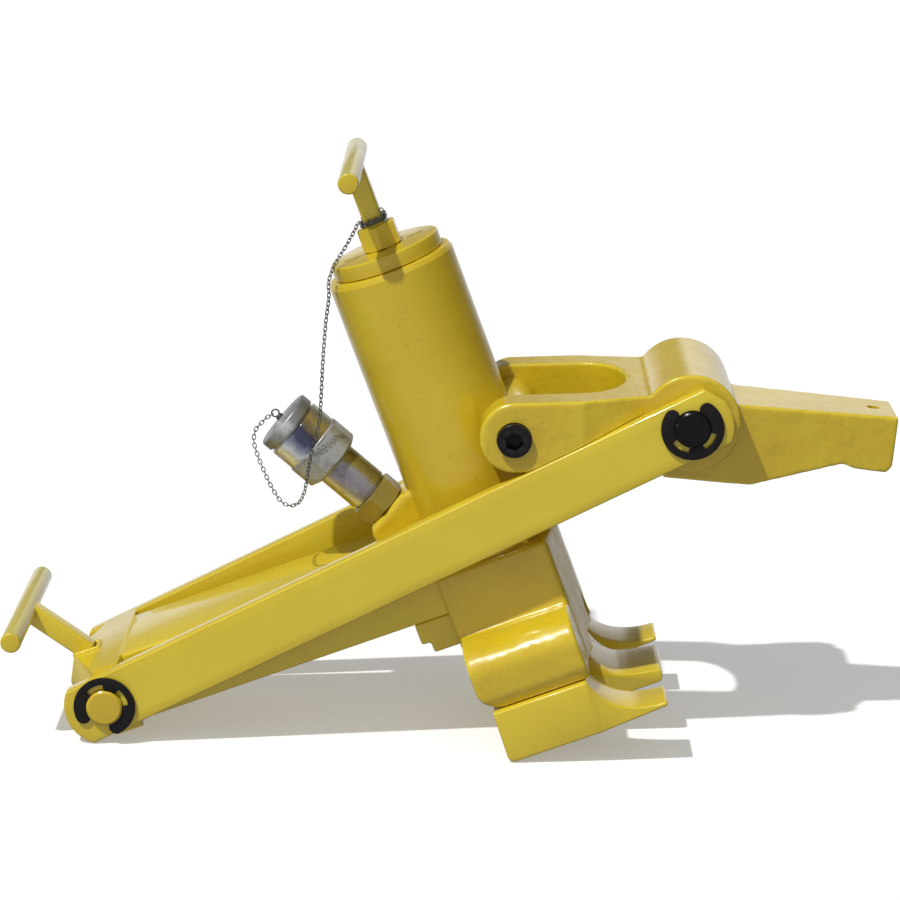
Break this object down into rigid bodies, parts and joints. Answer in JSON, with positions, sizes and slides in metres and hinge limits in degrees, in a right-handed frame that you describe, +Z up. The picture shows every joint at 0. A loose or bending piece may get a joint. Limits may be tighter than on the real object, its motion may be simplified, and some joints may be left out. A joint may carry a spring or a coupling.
{
  "type": "hydraulic tyre bead breaker",
  "caption": "Upright hydraulic cylinder on a beam with fixed claws and a ram-driven foot, and a hooked clamp arm pinned in two flat links.",
  "frame": {"origin": "middle of the bounding box on the floor that the tool leans on, without the chain", "axes": "+Z up with the tool at rest on its links' rear ends and claw heels, +X from the rear handle to the clamp arm's nose, +Y away from the chain's side"},
  "size_m": [0.4712, 0.135, 0.3106],
  "materials": {
    "yellow_paint": "thick gloss enamel",
    "black_steel": "oiled black oxide",
    "zinc_plate": "dull zinc plate with paint overspray",
    "bright_steel": "bright ground steel",
    "bronze": "plain bearing bronze",
    "seal_rubber": "matt black rubber"
  },
  "bodies": {
    "frame": {"cylinder_tube": "yellow_paint", "end_cap": "yellow_paint", "cap_boss": "yellow_paint", "handle_top_bar": "yellow_paint", "handle_top_shank": "yellow_paint", "handle_rear_bar": "yellow_paint", "handle_rear_shank": "yellow_paint", "beam": "yellow_paint", "pivot_block": "yellow_paint", "pivot_bush_near": "bronze", "pivot_bush_far": "bronze", "casting": "yellow_paint", "claw_near": "yellow_paint", "claw_far": "yellow_paint", "rod_gland": "bronze", "rod_wiper": "seal_rubber", "return_spring": "bright_steel", "gland_screw": "black_steel", "port_boss": "yellow_paint", "coupler_adapter": "zinc_plate", "coupler_nipple": "zinc_plate", "chain": "bright_steel"},
    "ram": {"ram_foot": "yellow_paint", "foot_screw": "black_steel", "ram_rod": "bright_steel", "piston": "bright_steel", "piston_seal": "seal_rubber"},
    "links": {"link_near": "yellow_paint", "link_far": "yellow_paint", "pin_rear": "yellow_paint", "pin_front": "black_steel", "clip_rear_near": "black_steel", "clip_rear_far": "black_steel", "clip_front_near": "black_steel", "clip_front_far": "black_steel"},
    "clamp": {"clamp_arm": "yellow_paint", "arm_bush_near": "bronze", "arm_bush_far": "bronze", "cross_bar": "yellow_paint", "ear_screw_near": "black_steel", "ear_screw_far": "black_steel"},
    "cap": {"dust_cap": "zinc_plate", "cap_eye": "zinc_plate"}
  },
  "joints": [
    {"name": "ram_slide", "type": "slide", "parent": "frame", "child": "ram", "axis": [0.3656, 0, -0.9308], "range_m": [0, 0.075], "stiffness_N_per_m": 900, "springref_m": -0.05, "deforming": ["return_spring"]},
    {"name": "link_swing", "type": "hinge", "parent": "frame", "child": "links", "pos_m": [-0.18106, 0, 0.02102], "axis": [0, 1, 0], "range_deg": [0, 7]},
    {"name": "clamp_swing", "type": "hinge", "parent": "links", "child": "clamp", "pos_m": [0.12392, 0, 0.18165], "axis": [0, 1, 0], "range_deg": [0, 70]},
    {"name": "cap_pull", "type": "slide", "parent": "frame", "child": "cap", "axis": [-0.7721, 0, 0.6355], "range_m": [0, 0.03], "deforming": ["chain"]}
  ]
}
